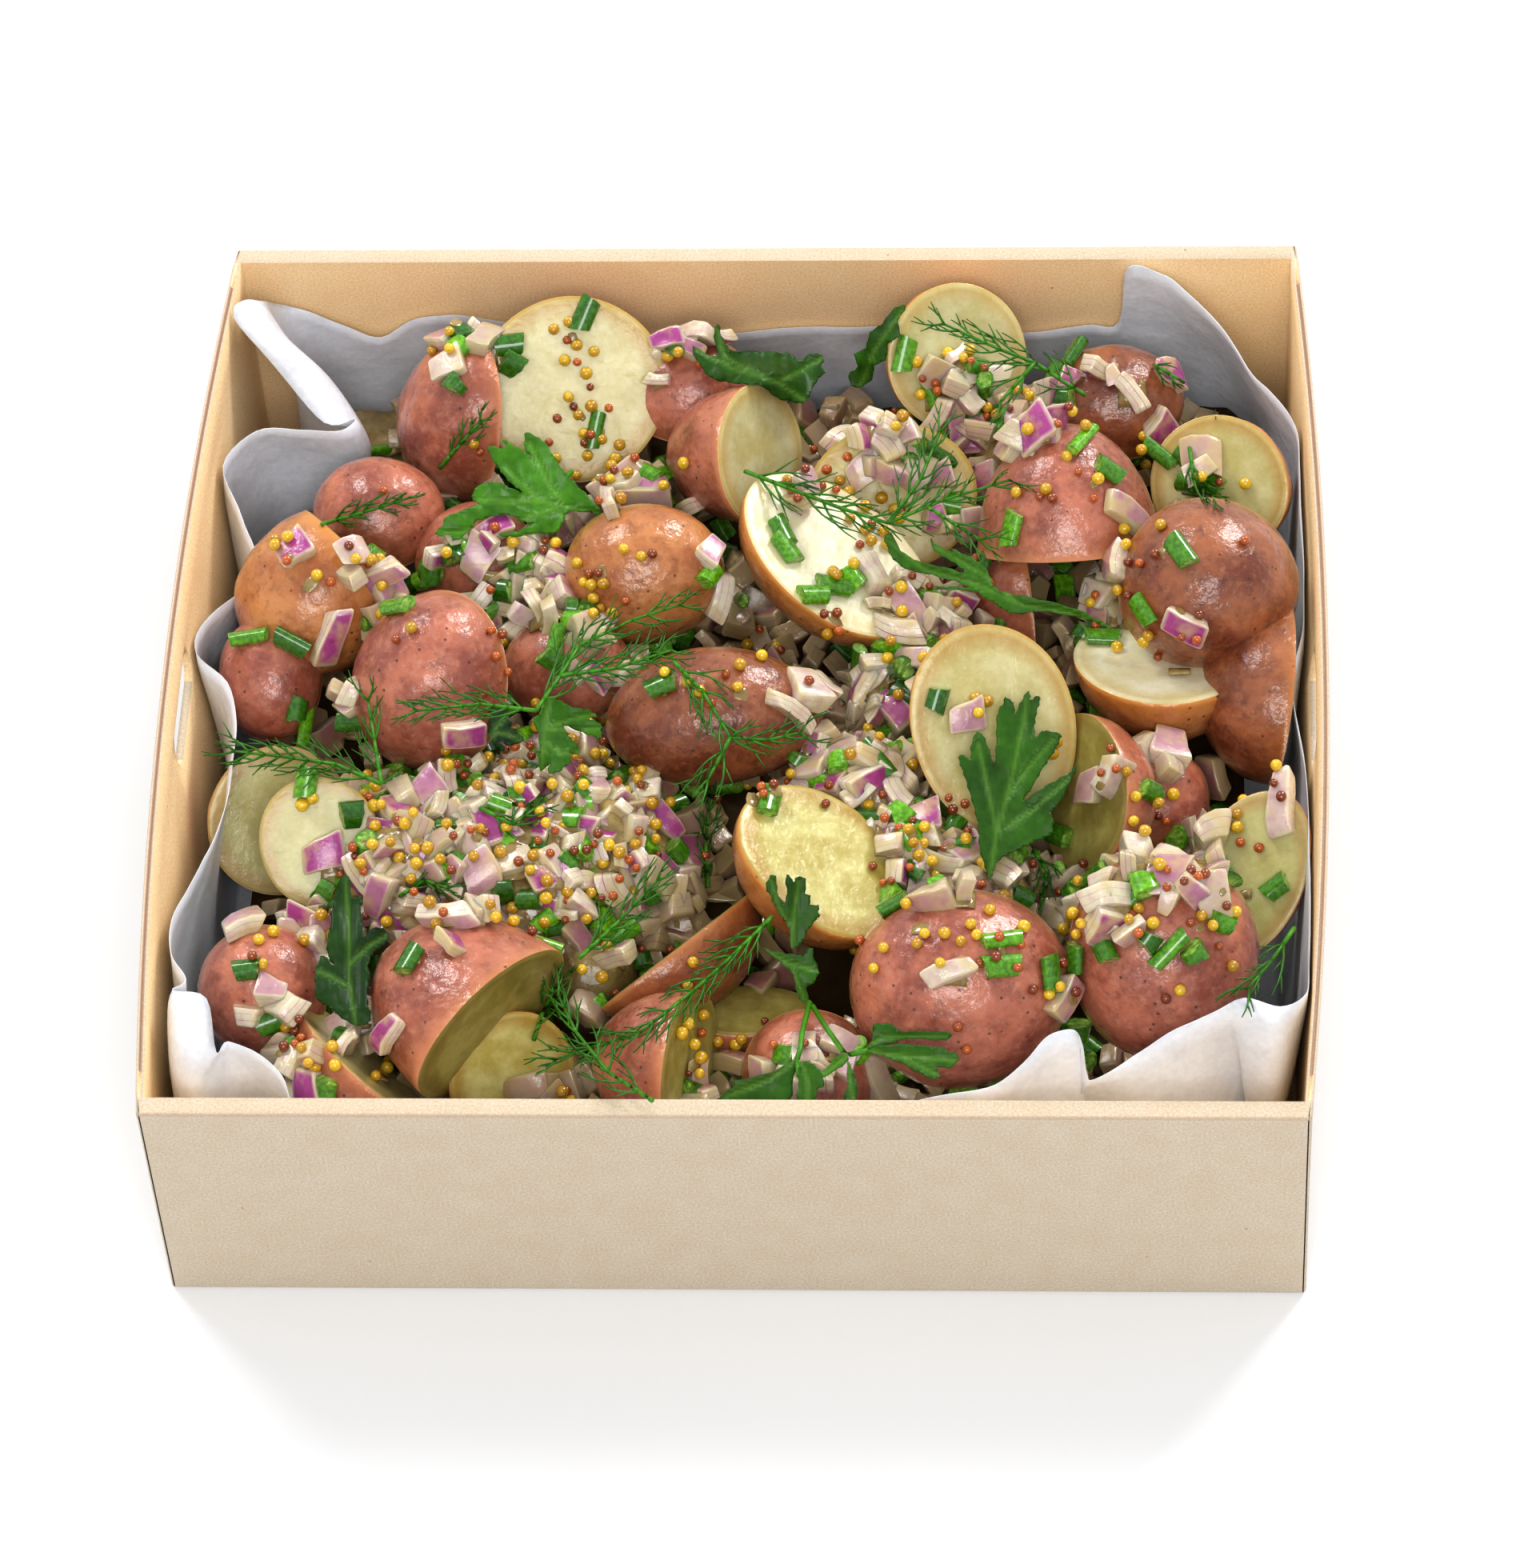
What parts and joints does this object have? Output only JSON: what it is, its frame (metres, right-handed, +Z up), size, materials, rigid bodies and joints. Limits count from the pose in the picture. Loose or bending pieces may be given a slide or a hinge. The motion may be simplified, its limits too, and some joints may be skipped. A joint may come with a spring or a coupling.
{
  "type": "potato salad",
  "caption": "Warm potato salad of halved red-skinned potatoes with onion, chives, mustard seeds and herbs in a square paper-lined kraft tray.",
  "frame": {"origin": "centre of the tray's underside, on the surface that it stands on", "axes": "+Z up out of the tray, +X to the right and +Y to the back as the picture shows it, with the two hand slots on the -X and +X walls"},
  "size_m": [0.2346, 0.225, 0.0727],
  "materials": {
    "kraft_board": "matte",
    "liner_paper": "satin",
    "relish": "glossy, wet with dressing",
    "potato_rose": "glossy, wet with dressing",
    "potato_orange": "glossy, wet with dressing",
    "potato_brown": "glossy, wet with dressing",
    "parsley": "satin",
    "dill": "satin"
  },
  "bodies": {
    "root": {"tray": "kraft_board", "liner": "liner_paper", "relish": "relish", "potato_01": "potato_brown", "potato_02": "potato_rose", "potato_03": "potato_orange", "potato_04": "potato_orange", "potato_05": "potato_rose", "potato_06": "potato_rose", "potato_07": "potato_rose", "potato_08": "potato_rose", "potato_09": "potato_orange", "potato_10": "potato_rose", "potato_11": "potato_orange", "potato_12": "potato_rose", "potato_13": "potato_orange", "potato_14": "potato_orange", "potato_15": "potato_orange", "potato_16": "potato_brown", "potato_17": "potato_orange", "potato_18": "potato_rose", "potato_19": "potato_rose", "potato_20": "potato_rose", "potato_21": "potato_brown", "potato_22": "potato_rose", "potato_23": "potato_brown", "potato_24": "potato_rose", "potato_25": "potato_rose", "potato_26": "potato_brown", "potato_27": "potato_rose", "potato_28": "potato_rose", "potato_29": "potato_rose", "potato_30": "potato_rose", "potato_31": "potato_rose", "potato_32": "potato_rose", "potato_33": "potato_rose", "potato_34": "potato_rose", "potato_35": "potato_orange", "potato_36": "potato_rose", "potato_37": "potato_rose", "potato_38": "potato_rose", "potato_39": "potato_rose", "parsley_01": "parsley", "parsley_02": "parsley", "parsley_03": "parsley", "parsley_04": "parsley", "parsley_05": "parsley", "parsley_06": "parsley", "parsley_07": "parsley", "parsley_08": "parsley", "parsley_09": "parsley", "dill_01": "dill", "dill_02": "dill", "dill_03": "dill", "dill_04": "dill", "dill_05": "dill", "dill_06": "dill", "dill_07": "dill", "dill_08": "dill", "dill_09": "dill"}
  },
  "joints": []
}
